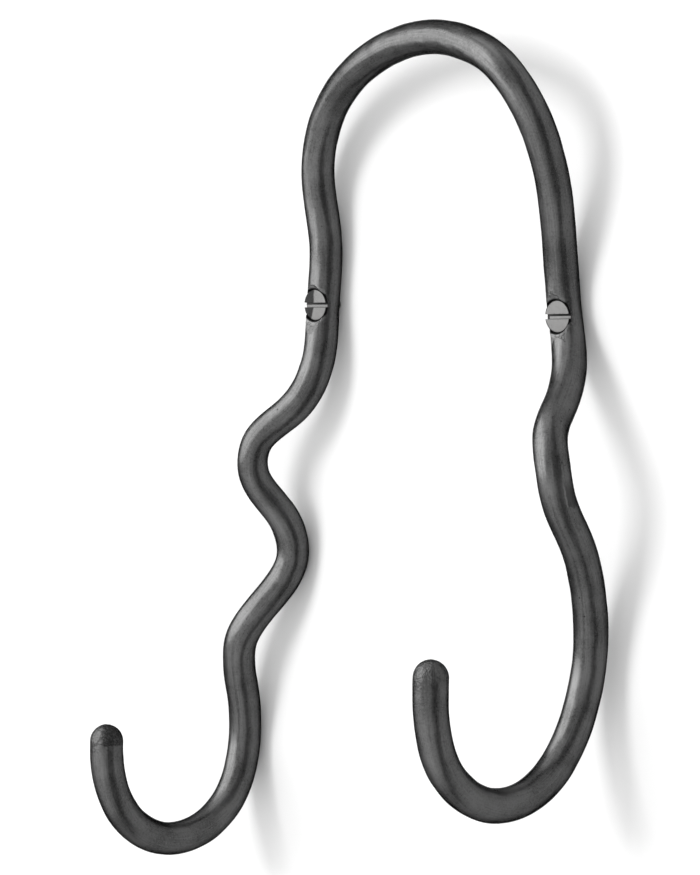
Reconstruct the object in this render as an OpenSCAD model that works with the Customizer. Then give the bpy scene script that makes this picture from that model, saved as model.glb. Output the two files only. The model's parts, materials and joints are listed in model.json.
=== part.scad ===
// Double wall hook: one round bar, bent by hand into an arch with two waving legs,
// each ending in a hook that stands out from the wall, held by two slotted wood screws.
// Millimetres. The wall is the plane y = 0 and the hook stands in front of it, towards -y.
// The origin lies on the wall, midway between the two screws. +z is up.

/* [Bar] */
// Diameter of the round bar
rod_d = 8; // [6:0.5:10]
// Height of the rounded nose at each end of the bar
nose_h = 4.0; // [2:0.2:5]

/* [Wall screws] */
// Distance between the two screw axes
screw_spacing = 76.5; // [70:0.5:84]
// Length of a screw, from the top of its head to its point
screw_len = 40; // [32:1:60]
// Diameter of the plain shank
shank_d = 4; // [3:0.1:4.6]
// Length of the plain shank below the head
shank_len = 4.9; // [4:0.1:12]
// Outer diameter of the thread
thread_d = 3.6; // [2.8:0.1:3.8]
// Length of the tapered point
point_len = 6; // [4:0.5:9]
// Diameter of the countersunk head
head_d = 7.4; // [6.5:0.1:8]
// Depth of the top of the head below the front of the bar
head_sink = 1.3; // [0.6:0.1:2]
// Height of the straight rim round the top of the head
rim_h = 0.5; // [0.2:0.1:0.9]
// Width of the driver slot
slot_w = 1.1; // [0.8:0.1:1.5]
// Depth of the driver slot
slot_depth = 0.7; // [0.6:0.1:1.6]
// Turn of the left screw's slot out of level, in degrees
left_slot_turn = -2; // [-90:1:90]
// Turn of the right screw's slot out of level, in degrees
right_slot_turn = -3; // [-90:1:90]
// Radial clearance of the hole round the shank
hole_clear = 0.25; // [0.1:0.05:0.5]
// Clearance of the countersunk seat under the head
seat_clear = 0.1; // [0.05:0.05:0.2]
// Radial gap round the sunk head
rim_clear = 0.3; // [0.25:0.05:0.5]
// Gap between bar and wall at the left screw
left_gap = 0.4; // [0.1:0.1:1]
// Gap between bar and wall at the right screw
right_gap = 0.1; // [0.1:0.1:1]

/* [Arch] */
// Height of the bar's centre at the crown, above the screws
crown_z = 61.6; // [50:0.2:75]
// Sideways place of the crown, to the right of the middle
crown_x = 10; // [0:0.5:16]
// Distance of the bar's centre from the wall at the crown
crown_out = 18.2; // [12:0.2:26]
// Height of the right shoulder above the screws
shoulder_z = 56.1; // [46:0.1:70]
// Sideways place of the right shoulder
shoulder_x = 33.5; // [28:0.5:40]
// Distance of the right shoulder from the wall
shoulder_out = 21.5; // [14:0.5:28]
// Height of the widest place on the right side
haunch_z = 35.6; // [28:0.2:44]
// Sideways place of the widest place on the right side
haunch_x = 42.3; // [36:0.1:48]
// Distance of the widest place on the right side from the wall
haunch_out = 14.6; // [10:0.2:20]

/* [Left leg] */
// Depth of the upper wave below the screws
upper_wave_drop = 36.4; // [30:0.2:42]
// Sideways place of the upper wave, to the left of the middle
upper_wave_x = 52.6; // [44:0.2:60]
// Distance of the bar's centre from the wall on the upper wave
upper_wave_out = 14.4; // [10:0.2:20]
// Depth below the screws of the place where the leg meets the wall
left_touch_drop = 60.4; // [54:0.2:66]
// Sideways place where the leg meets the wall
left_touch_x = 49; // [43:0.5:56]
// Depth of the lower wave below the screws
lower_wave_drop = 79.9; // [74:0.1:85]
// Sideways place of the lower wave
lower_wave_x = 60.4; // [54:0.2:68]
// Distance of the bar's centre from the wall on the lower wave
lower_wave_out = 10; // [6:0.2:16]
// Gap between bar and wall where the left leg meets it
wall_gap = 0.2; // [0.2:0.1:1]

/* [Left hook] */
// Sideways place of the left hook, to the left of the middle
left_hook_x = 65.5; // [58:0.5:74]
// Depth of the left hook's lowest centre below the screws
left_hook_drop = 126.4; // [115:0.2:140]
// Bend radius of the left hook
left_hook_r = 22; // [16:0.2:28]
// Straight length from the end of the left bend to the nose
left_tip_len = 3.4; // [1:0.2:20]

/* [Right leg] */
// Depth of the bulge below the screws
bulge_drop = 31.4; // [26:0.2:38]
// Sideways place of the bulge, to the right of the middle
bulge_x = 52.6; // [46:0.2:60]
// Distance of the bar's centre from the wall on the bulge
bulge_out = 23.5; // [16:0.2:30]

// Sideways place of the leg's foot, where it comes nearest to the wall
right_foot_x = 48.4; // [43:0.1:55]

/* [Right hook] */
// Sideways place of the right hook, to the right of the middle
right_hook_x = 47.2; // [42:0.1:54]
// Depth of the right hook's lowest centre below the screws
right_hook_drop = 104.9; // [96:0.1:116]
// Distance of the bar's centre from the wall at the leg's foot
right_back_out = 6.7; // [4.6:0.2:10]
// Distance of the bar's centre from the wall at the right nose
right_reach = 55.5; // [46:0.5:64]
// Height of the wide sweep down from the wall
right_sweep_h = 30; // [24:0.5:34]
// Bend radius of the front of the right hook
right_front_r = 23; // [16:0.5:28]
// Straight length from the end of the right bend to the nose
right_tip_len = 7; // [1:0.5:24]

/* [Hidden] */
$fn = 48;

// Sides of the bar's facets, and steps along it between two stations of its route
bar_sides = 18;
bar_steps = 5;
nose_steps = 4;
// Angle between neighbouring stations round a hook
hook_step = 36;
// How far cutting shapes run past the faces that they cut
past = 1;

bar_colour = "#3b3c3f";
screw_colour = "#8c8e92";

rod_r = rod_d / 2;
head_r = head_d / 2;
shank_r = shank_d / 2;
thread_r = thread_d / 2;
// The head tapers at 45 degrees, so its cone is as deep as it is wide
cone_h = head_r - shank_r;

// A place on the bar's centre line, given its distance out from the wall
function place(x, out, z) = [x, -out, z];

// A place between two others, with its own share of the way along each axis
function between(a, b, share) = [for (k = [0:2]) a[k] + share[k] * (b[k] - a[k])];

// A place on a round bend that stands square to the wall: 0 degrees points away from the wall
function bend_place(x, out, z, reach, rise, angle) = place(x, out + reach * cos(angle), z + rise * sin(angle));

// Places that the bar is bent through
left_seat = place(-screw_spacing / 2, rod_r + left_gap, 0);
right_seat = place(screw_spacing / 2, rod_r + right_gap, 0);
crown = place(crown_x, crown_out, crown_z);
shoulder = place(shoulder_x, shoulder_out, shoulder_z);
haunch = place(haunch_x, haunch_out, haunch_z);
upper_wave = place(-upper_wave_x, upper_wave_out, -upper_wave_drop);
left_touch = place(-left_touch_x, rod_r + wall_gap, -left_touch_drop);
lower_wave = place(-lower_wave_x, lower_wave_out, -lower_wave_drop);
bulge = place(bulge_x, bulge_out, -bulge_drop);

// Centre of the left hook's bend, and the centres and reaches of the right hook's two bends
left_centre_out = rod_r + wall_gap + left_hook_r;
left_centre_z = left_hook_r - left_hook_drop;
left_back = place(-left_hook_x, rod_r + wall_gap, left_centre_z);
right_centre_out = right_reach - right_front_r;
right_sweep_reach = right_centre_out - right_back_out;
right_sweep_z = right_sweep_h - right_hook_drop;
right_front_z = right_front_r - right_hook_drop;
right_back = place(right_foot_x, right_back_out, right_sweep_z);

left_hook_route = concat(
    [place(-left_hook_x, left_centre_out + left_hook_r, left_centre_z + left_tip_len)],
    [for (angle = [0:-hook_step:-180])
        bend_place(-left_hook_x, left_centre_out, left_centre_z, left_hook_r, left_hook_r, angle)]
);

left_leg_route = [
    between(left_back, lower_wave, [0.3, 0.32, 0.4]),
    lower_wave,
    between(lower_wave, left_touch, [0.69, 0.6, 0.6]),
    left_touch,
    between(left_touch, upper_wave, [0.12, 0.3, 0.44]),
    between(left_touch, upper_wave, [1, 0.88, 0.85]),
    between(upper_wave, left_seat, [0.13, 0.05, 0.11]),
    between(upper_wave, left_seat, [0.67, 0.45, 0.33]),
    between(upper_wave, left_seat, [1.02, 0.8, 0.64])
];

arch_route = [
    left_seat,
    between(left_seat, crown, [0.02, 0.01, 0.24]),
    between(left_seat, crown, [0.02, 0.19, 0.48]),
    between(left_seat, crown, [0.16, 0.44, 0.71]),
    between(left_seat, crown, [0.46, 0.72, 0.89]),
    crown,
    between(crown, shoulder, [0.65, 0.8, 0.35]),
    shoulder,
    between(shoulder, haunch, [0.8, 0.36, 0.46]),
    haunch,
    between(haunch, right_seat, [0.58, 0.6, 0.44]),
    right_seat
];

right_leg_route = [
    between(right_seat, bulge, [0.34, 0.2, 0.34]),
    between(right_seat, bulge, [0.61, 0.55, 0.58]),
    between(right_seat, bulge, [0.84, 0.91, 0.79]),
    bulge,
    between(bulge, right_back, [-0.1, 0.07, 0.15]),
    between(bulge, right_back, [0, 0.46, 0.4]),
    between(bulge, right_back, [0.52, 0.85, 0.7]),
    right_back
];

right_hook_route = concat(
    [for (angle = [-150:30:-90])
        bend_place(right_hook_x, right_centre_out, right_sweep_z, right_sweep_reach, right_sweep_h, angle)],
    [for (angle = [-60:30:0])
        bend_place(right_hook_x, right_centre_out, right_front_z, right_front_r, right_front_r, angle)],
    [place(right_hook_x, right_reach, right_front_z + right_tip_len)]
);

// The whole route, from the left nose over the arch to the right nose
route = concat(left_hook_route, left_leg_route, arch_route, right_leg_route, right_hook_route);
last = len(route) - 1;

// A smooth bend through all the places: a natural cubic spline, with the chords as its spans
span = [for (k = [0:last - 1]) norm(route[k + 1] - route[k])];
pull = [for (k = [1:last - 1]) 6 * ((route[k + 1] - route[k]) / span[k] - (route[k] - route[k - 1]) / span[k - 1])];

// Forward pass down the spline's equations: a ratio and a partly solved bend for each inner station
function forward_pass(k = 1, ratio = 0, bend = [0, 0, 0], done = []) =
    k == last ? done
    : let (
        w = 2 * (span[k - 1] + span[k]) - span[k - 1] * ratio,
        next_ratio = span[k] / w,
        next_bend = (pull[k - 1] - span[k - 1] * bend) / w
    )
    forward_pass(k + 1, next_ratio, next_bend, concat(done, [[next_ratio, next_bend]]));

// Backward pass: the bend at every station, with both ends of the bar straight
function backward_pass(k, bend, done) =
    k == 0 ? concat([[0, 0, 0]], done)
    : let (solved = forward[k - 1][1] - forward[k - 1][0] * bend)
    backward_pass(k - 1, solved, concat([solved], done));

forward = forward_pass();
bends = backward_pass(last - 1, [0, 0, 0], [[0, 0, 0]]);

function spline_point(k, t) =
    (1 - t) * route[k] + t * route[k + 1]
    + span[k] * span[k] / 6 * ((pow(1 - t, 3) - (1 - t)) * bends[k] + (pow(t, 3) - t) * bends[k + 1]);

function spline_way(k, t) =
    (route[k + 1] - route[k]) / span[k]
    + span[k] / 6 * ((1 - 3 * pow(1 - t, 2)) * bends[k] + (3 * t * t - 1) * bends[k + 1]);

function unit(v) = v / norm(v);
function square_to(v, way) = unit(v - (v * way) * way);

// Centres along the bar and the way that it runs at each
places = concat(
    [for (k = [0:last - 1], step = [0:bar_steps - 1]) [k, step / bar_steps]],
    [[last - 1, 1]]
);
centres = [for (p = places) spline_point(p[0], p[1])];
ways = [for (p = places) unit(spline_way(p[0], p[1]))];
rings = len(centres);

// Sideways directions carried along the bar without twisting
sides = [
    for (k = 0, side = square_to([1, 0, 0], ways[0]); k < rings; k = k + 1, side = k < rings ? square_to(side, ways[k]) : side)
    side
];

function ring(centre, way, side, radius) = [
    for (k = [0:bar_sides - 1])
        centre + radius * (cos(360 * k / bar_sides) * side + sin(360 * k / bar_sides) * cross(way, side))
];

// Rings of a rounded nose at one end, from its tip side to the bar or the other way round
function nose_rings(end, turn) = [
    for (k = [1:nose_steps])
        let (angle = turn > 0 ? 90 * k / (nose_steps + 1) : 90 - 90 * k / (nose_steps + 1))
        ring(centres[end] + turn * nose_h * sin(angle) * ways[end], ways[end], sides[end], rod_r * cos(angle))
];

skin_rings = concat(
    nose_rings(0, -1),
    [for (k = [0:rings - 1]) ring(centres[k], ways[k], sides[k], rod_r)],
    nose_rings(rings - 1, 1)
);
ring_count = len(skin_rings);
skin_points = concat(
    [for (r = skin_rings) each r],
    [centres[0] - nose_h * ways[0], centres[rings - 1] + nose_h * ways[rings - 1]]
);
first_tip = ring_count * bar_sides;
function corner(r, k) = r * bar_sides + k % bar_sides;
skin_faces = concat(
    [for (k = [0:bar_sides - 1]) [first_tip, corner(0, k), corner(0, k + 1)]],
    [for (r = [0:ring_count - 2], k = [0:bar_sides - 1]) each [
        [corner(r, k), corner(r + 1, k), corner(r + 1, k + 1)],
        [corner(r, k), corner(r + 1, k + 1), corner(r, k + 1)]
    ]],
    [for (k = [0:bar_sides - 1]) [first_tip + 1, corner(ring_count - 1, k + 1), corner(ring_count - 1, k)]]
);

// Turns a shape that runs up +z from the top of a screw head so that it runs into the wall at a seat
module at_head(seat) {
    translate([seat[0], seat[1] - rod_r + head_sink, seat[2]])
        rotate([-90, 0, 0])
            children();
}

// The drilled hole for the shank, with the countersunk seat and the wider bore that lets the head sink in
module screw_hole() {
    seat_r = head_r + seat_clear;
    translate([0, 0, -head_sink - past])
        cylinder(r = shank_r + hole_clear, h = rod_d + 2 * past);
    translate([0, 0, -head_sink - past])
        cylinder(r = head_r + rim_clear, h = past + head_sink + rim_h);
    translate([0, 0, rim_h])
        cylinder(r1 = seat_r, r2 = 0, h = seat_r);
}

module hook_rod() {
    color(bar_colour)
        difference() {
            polyhedron(skin_points, skin_faces, convexity = 10);
            at_head(left_seat)
                screw_hole();
            at_head(right_seat)
                screw_hole();
        }
}

// A slotted countersunk wood screw: head, plain shank, threaded part as plain as its outer size, and point
module wood_screw(slot_turn) {
    shank_end = rim_h + cone_h + shank_len;
    color(screw_colour)
        difference() {
            rotate_extrude()
                polygon([
                    [0, 0],
                    [head_r, 0],
                    [head_r, rim_h],
                    [shank_r, rim_h + cone_h],
                    [shank_r, shank_end],
                    [thread_r, shank_end + shank_r - thread_r],
                    [thread_r, screw_len - point_len],
                    [0, screw_len]
                ]);
            rotate([0, 0, slot_turn])
                translate([-head_r - past, -slot_w / 2, -past])
                    cube([head_d + 2 * past, slot_w, past + slot_depth]);
        }
}

module screw_left() {
    at_head(left_seat)
        wood_screw(left_slot_turn);
}

module screw_right() {
    at_head(right_seat)
        wood_screw(right_slot_turn);
}

hook_rod();
screw_left();
screw_right();
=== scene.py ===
"""Looks of a double wall hook: one hand-bent, blackened bar and its two slotted wood screws.

Sizes are millimetres in the hook's own frame. The wall is the plane y = 0, the hook stands in
front of it towards -y, +z is up, and the origin lies on the wall midway between the screws.
"""
import json
import logging
import math
from dataclasses import dataclass
from enum import Enum

import bmesh
import bpy
import numpy as np
from mathutils import Matrix, Vector

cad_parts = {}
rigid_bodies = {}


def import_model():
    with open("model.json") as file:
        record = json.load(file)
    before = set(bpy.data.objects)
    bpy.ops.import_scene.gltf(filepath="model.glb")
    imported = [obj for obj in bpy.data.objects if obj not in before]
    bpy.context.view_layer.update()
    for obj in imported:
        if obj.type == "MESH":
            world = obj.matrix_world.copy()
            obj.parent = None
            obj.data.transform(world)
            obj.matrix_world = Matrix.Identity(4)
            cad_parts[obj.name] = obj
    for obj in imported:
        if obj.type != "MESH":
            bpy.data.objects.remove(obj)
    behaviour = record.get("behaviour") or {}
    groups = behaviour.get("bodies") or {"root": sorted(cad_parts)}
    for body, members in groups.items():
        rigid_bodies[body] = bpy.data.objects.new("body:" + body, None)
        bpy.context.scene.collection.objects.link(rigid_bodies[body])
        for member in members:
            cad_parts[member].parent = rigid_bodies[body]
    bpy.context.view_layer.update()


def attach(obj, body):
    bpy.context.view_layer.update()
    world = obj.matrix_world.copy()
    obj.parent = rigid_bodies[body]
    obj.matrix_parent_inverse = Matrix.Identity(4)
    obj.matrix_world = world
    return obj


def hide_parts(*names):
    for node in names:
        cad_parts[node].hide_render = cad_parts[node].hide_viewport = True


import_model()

ROOT_BODY = "root"
MM = 0.001
MERGE_GAP = 1e-7
BAR_ALONG = "bar_along"
BAR_ACROSS = "bar_across"
BAR_GIRTH = "bar_girth"
BAR_TIP = "bar_tip"

Point = tuple[float, float, float]
Span = tuple[float, float]
Colour = tuple[float, float, float, float]

log = logging.getLogger("wall_hook")


def grey(level: float, warmth: float = 0.0) -> Colour:
    """Makes a grey.

    Args:
        level: Brightness in linear light.
        warmth: Share by which red gains on blue.

    Returns:
        The opaque colour.
    """
    return (level * (1 + warmth), level, level * (1 - warmth), 1.0)


class Value:
    """A number that changes over a surface, held as the socket that gives it."""

    def __init__(self, maker: "NodeMaker", socket: bpy.types.NodeSocket) -> None:
        """Keeps the socket and the tree that it stands in.

        Args:
            maker: Maker of the tree's nodes.
            socket: Output socket that gives the number.
        """
        self.maker = maker
        self.socket = socket

    def maths(self, operation: str, *terms: "Value | float") -> "Value":
        """Adds one Math node.

        Args:
            operation: The node's operation.
            terms: What goes into its sockets, in order.

        Returns:
            The node's result.
        """
        return self.maker.make("ShaderNodeMath", {"operation": operation}, dict(enumerate(terms)))

    def __add__(self, other: "Value | float") -> "Value":
        """Gives self + other."""
        return self.maths("ADD", self, other)

    def __radd__(self, other: float) -> "Value":
        """Gives other + self."""
        return self.maths("ADD", other, self)

    def __sub__(self, other: "Value | float") -> "Value":
        """Gives self - other."""
        return self.maths("SUBTRACT", self, other)

    def __rsub__(self, other: float) -> "Value":
        """Gives other - self."""
        return self.maths("SUBTRACT", other, self)

    def __mul__(self, other: "Value | float") -> "Value":
        """Gives self * other."""
        return self.maths("MULTIPLY", self, other)

    def __rmul__(self, other: float) -> "Value":
        """Gives other * self."""
        return self.maths("MULTIPLY", other, self)

    def __truediv__(self, other: "Value | float") -> "Value":
        """Gives self / other."""
        return self.maths("DIVIDE", self, other)

    def __abs__(self) -> "Value":
        """Gives the size of self without its sign."""
        return self.maths("ABSOLUTE", self)

    def most(self, other: "Value | float") -> "Value":
        """Gives the larger of self and other."""
        return self.maths("MAXIMUM", self, other)

    def least(self, other: "Value | float") -> "Value":
        """Gives the smaller of self and other."""
        return self.maths("MINIMUM", self, other)

    def away(self, other: "Value") -> "Value":
        """Gives the distance from where self and other are both 0."""
        square = self * self + other * other
        return square.maths("SQRT", square)

    def swing(self, size: float) -> "Value":
        """Gives a noise about 0 instead of 0.5, times a size."""
        return (self - 0.5) * size

    def step(self, edge: float, blur: float) -> "Value":
        """Gives a smooth step over a blur to each side of an edge."""
        return self.rise(edge - blur, edge + blur)

    def rise(self, low: float, high: float) -> "Value":
        """Gives a smooth step.

        Args:
            low: Value at which the step starts, at 0.
            high: Value at which it ends, at 1.

        Returns:
            A number from 0 to 1.
        """
        sockets = {"Value": self, "From Min": low, "From Max": high}
        return self.maker.make("ShaderNodeMapRange", {"interpolation_type": "SMOOTHSTEP"}, sockets)


class NodeMaker:
    """Adds nodes to one tree."""

    def __init__(self, tree: bpy.types.NodeTree) -> None:
        """Keeps the tree that nodes are added to."""
        self.tree = tree

    def add(
        self, kind: str, settings: dict | None = None, sockets: dict | None = None
    ) -> bpy.types.Node:
        """Adds any node, its settings first and then its sockets.

        Args:
            kind: The node's type.
            settings: Its properties by name, and "stops" for the places and colours of a ramp.
            sockets: Numbers, colours or links by a socket's place, identifier or name.

        Returns:
            The new node.
        """
        node = self.tree.nodes.new(kind)
        for name, setting in (settings or {}).items():
            if name == "stops":
                self.set_stops(node.color_ramp, setting)
            else:
                setattr(node, name, setting)
        self.feed(node, sockets or {})
        return node

    def feed(self, node: bpy.types.Node, sockets: dict) -> None:
        """Sets or links some of a node's inputs.

        Args:
            node: The node.
            sockets: Numbers, colours or values by a socket's place, identifier or name.
        """
        for key, given in sockets.items():
            socket = self.find(node.inputs, key)
            if isinstance(given, Value):
                self.tree.links.new(given.socket, socket)
            else:
                socket.default_value = given

    def make(
        self,
        kind: str,
        settings: dict | None = None,
        sockets: dict | None = None,
        output: int | str = 0,
    ) -> Value:
        """Adds a node and gives one of its outputs.

        Args:
            kind: The node's type.
            settings: Its properties, as add takes them.
            sockets: Its inputs, as add takes them.
            output: Place, identifier or name of the output.

        Returns:
            The output as a value.
        """
        node = self.add(kind, settings, sockets)
        return Value(self, self.find(node.outputs, output))

    @staticmethod
    def find(sockets: bpy.types.bpy_prop_collection, key: int | str) -> bpy.types.NodeSocket:
        """Finds a socket.

        Args:
            sockets: A node's inputs or outputs.
            key: The socket's place, identifier or name.

        Returns:
            The socket.
        """
        if isinstance(key, int):
            return sockets[key]
        named = (socket for socket in sockets if socket.identifier == key)
        return next(named, None) or sockets[key]

    @staticmethod
    def set_stops(ramp: bpy.types.ColorRamp, stops: list[tuple[float, Colour]]) -> None:
        """Sets a colour ramp's stops.

        Args:
            ramp: The ramp, with its two first stops.
            stops: Places from 0 to 1 with their colours.
        """
        while len(ramp.elements) < len(stops):
            ramp.elements.new(1.0)
        for element, (place, colour) in zip(ramp.elements, stops):
            element.position = place
            element.color = colour

    def split(self, where: Value) -> list[Value]:
        """Gives the numbers of a vector along x, y and z."""
        node = self.add("ShaderNodeSeparateXYZ", {}, {0: where})
        return [Value(self, socket) for socket in node.outputs]

    def offsets(self, where: Value, place: Point) -> list[Value]:
        """Measures how far coordinates lie from a place.

        Args:
            where: Coordinates in metres.
            place: The place in millimetres.

        Returns:
            The distances along x, y and z in millimetres.
        """
        return [axis / MM - start for axis, start in zip(self.split(where), place)]

    def mix(self, share: Value, first: "Value | Colour", second: "Value | Colour") -> Value:
        """Mixes two colours.

        Args:
            share: How much of the second shows, from 0 to 1.
            first: Colour at 0.
            second: Colour at 1.

        Returns:
            The mixed colour.
        """
        sockets = {"Factor_Float": share, "A_Color": first, "B_Color": second}
        return self.make("ShaderNodeMix", {"data_type": "RGBA"}, sockets, "Result_Color")

    def noise(
        self, where: Value, size: float, detail: float = 2.0, roughness: float = 0.5
    ) -> Value:
        """Adds a noise.

        Args:
            where: Coordinates in metres.
            size: Size of its spots in millimetres.
            detail: Number of finer layers.
            roughness: Share of each finer layer.

        Returns:
            A number round 0.5.
        """
        spots = {"Vector": where, "Scale": 1 / (size * MM)}
        layers = {"Detail": detail, "Roughness": roughness}
        return self.make("ShaderNodeTexNoise", {}, spots | layers, "Fac")

    def bump(
        self, height: Value, strength: float, depth: float, under: Value | None = None
    ) -> Value:
        """Adds a bump.

        Args:
            height: Height over the surface, from 0 to 1.
            strength: Share of the bump that shows.
            depth: Height of 1 in millimetres.
            under: Normal of the layer below.

        Returns:
            The bumped normal.
        """
        sockets = {"Height": height, "Strength": strength, "Distance": depth * MM}
        if under is not None:
            sockets["Normal"] = under
        return self.make("ShaderNodeBump", {}, sockets)


def new_material(name: str) -> tuple[bpy.types.Material, NodeMaker, bpy.types.Node]:
    """Makes an empty material.

    Args:
        name: The material's name.

    Returns:
        The material, the maker of its nodes and its principled shader.
    """
    material = bpy.data.materials.new(name)
    material.use_nodes = True
    shader = next(node for node in material.node_tree.nodes if node.type == "BSDF_PRINCIPLED")
    return material, NodeMaker(material.node_tree), shader


@dataclass(frozen=True)
class SeatRingAndShadow:
    """A lighter ring round each screw, worn and a painted light catch, and inside it a painted gap
    shadow.
    """

    start: float = 4.9
    end: float = 4.3
    depth: float = 0.9
    gap_shadow_r: float = 3.99
    gap_shadow_blur: float = 0.08

    def masks(self, maker: NodeMaker, where: Value, seats: "list[Seat]") -> tuple[Value, Value]:
        """Draws the rings.

        Args:
            maker: Maker of the material's nodes.
            where: Object coordinates.
            seats: Where the screws stand.

        Returns:
            1 on the lighter ring and 0 off it, then 1 in the painted gap shadow and 0 elsewhere.
        """
        rubbed_and_lit, gap_shadow = 0.0, 0.0
        for seat in seats:
            across, depth, up = maker.offsets(where, seat.middle)
            radius = across.away(up)
            front = 1 - depth.rise(self.depth / 2, self.depth)
            # Lighter ring: worn metal and a painted light catch on the edge of the hole.
            rubbed_and_lit = (1 - radius.rise(self.end, self.start)) * front + rubbed_and_lit
            # Painted shadow of the gap between the head and its hole.
            gap_shadow = (1 - radius.step(self.gap_shadow_r, self.gap_shadow_blur)) * front + gap_shadow
        return rubbed_and_lit, gap_shadow


@dataclass(frozen=True)
class PaintedNoseReflection:
    """A ragged dark patch on one side of a nose, speckled: a painted dark reflection."""

    spot: float = 0.8
    rag: float = 3.4
    lean: float = 0.7
    side: float = -0.9
    side_blur: float = 0.3
    drop: float = -0.7
    drop_blur: float = 0.1
    drop_rag: float = 0.3
    reach: Span = (5.0, 6.0)
    speck: Span = (0.36, 0.6)
    speck_share: float = 0.65
    thinnest: float = 0.3

    def mask(self, maker: NodeMaker, where: Value, nose: Point) -> Value:
        """Draws the patch.

        Args:
            maker: Maker of the material's nodes.
            where: Object coordinates.
            nose: Where the nose starts.

        Returns:
            1 on the painted reflection and 0 elsewhere.
        """
        across, out, up = maker.offsets(where, nose)
        ragged = maker.noise(where, self.spot, 3.0, 0.65).swing(self.rag)
        side = across * self.lean + out * self.lean
        on_side = (side + ragged).step(self.side, self.side_blur)
        on_top = (up + ragged * self.drop_rag).step(self.drop, self.drop_blur)
        near = (1 - abs(across).rise(*self.reach)) * (1 - abs(out).rise(*self.reach))
        specks = maker.noise(where, self.spot / 2, 2.0, 0.7).rise(*self.speck)
        return on_side * on_top * near * (specks * self.speck_share + self.thinnest)


@dataclass(frozen=True)
class LegFlake:
    """A long thin flake of scale on the outer side of the right leg, with one bright edge."""

    start: float = 1.6
    length: float = 7.2
    fade_in: float = 4.0
    fade_out: float = 0.4
    end_rag: float = 2.0
    lean: float = 0.3
    spot: float = 0.8
    rag: float = 0.8
    edge: float = -1.95
    edge_blur: float = 0.3
    inner: Span = (0.6, 2.4)
    outer_side: Span = (1.5, 2.5)
    line_gap: float = 0.15
    line: Span = (0.06, 0.2)
    strength: float = 0.6

    def masks(self, maker: NodeMaker, where: Value, bulge: Point) -> tuple[Value, Value]:
        """Draws the flake.

        Args:
            maker: Maker of the material's nodes.
            where: Object coordinates.
            bulge: The right leg's bulge, above the flake.

        Returns:
            How dark the flake is, then 1 on its bright edge and 0 elsewhere.
        """
        across, out, up = maker.offsets(where, bulge)
        drop = up * -1
        ragged = maker.noise(where, self.spot, 2.0, 0.6) - 0.5
        inward = out - drop * self.lean + ragged * self.rag
        end = self.start + self.length
        top = drop.rise(self.start, self.start + self.fade_in)
        foot = 1 - (drop + ragged * self.end_rag).rise(end - self.fade_out, end)
        tall = top * foot * across.rise(*self.outer_side)
        wide = inward.rise(self.edge, self.edge + self.edge_blur) * (1 - inward.rise(*self.inner))
        line = 1 - abs(inward - self.edge + self.line_gap).rise(*self.line)
        return wide * tall * self.strength, line * tall


@dataclass(frozen=True)
class Pits:
    """Small pits where the scale has come off."""

    size: float = 2.3
    width: Span = (0.04, 0.13)
    patch_size: float = 20.7
    patch: Span = (0.56, 0.66)
    shade: float = 0.45
    strength: float = 0.6
    depth: float = 0.06

    def mask(self, maker: NodeMaker, where: Value) -> Value:
        """Scatters the pits.

        Args:
            maker: Maker of the material's nodes.
            where: Object coordinates.

        Returns:
            1 in a pit and 0 elsewhere.
        """
        sockets = {"Vector": where, "Scale": 1 / (self.size * MM), "Randomness": 1.0}
        near = maker.make("ShaderNodeTexVoronoi", {}, sockets, "Distance")
        patches = maker.noise(where, self.patch_size, detail=1.0)
        return (1 - near.rise(*self.width)) * patches.rise(*self.patch)


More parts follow.
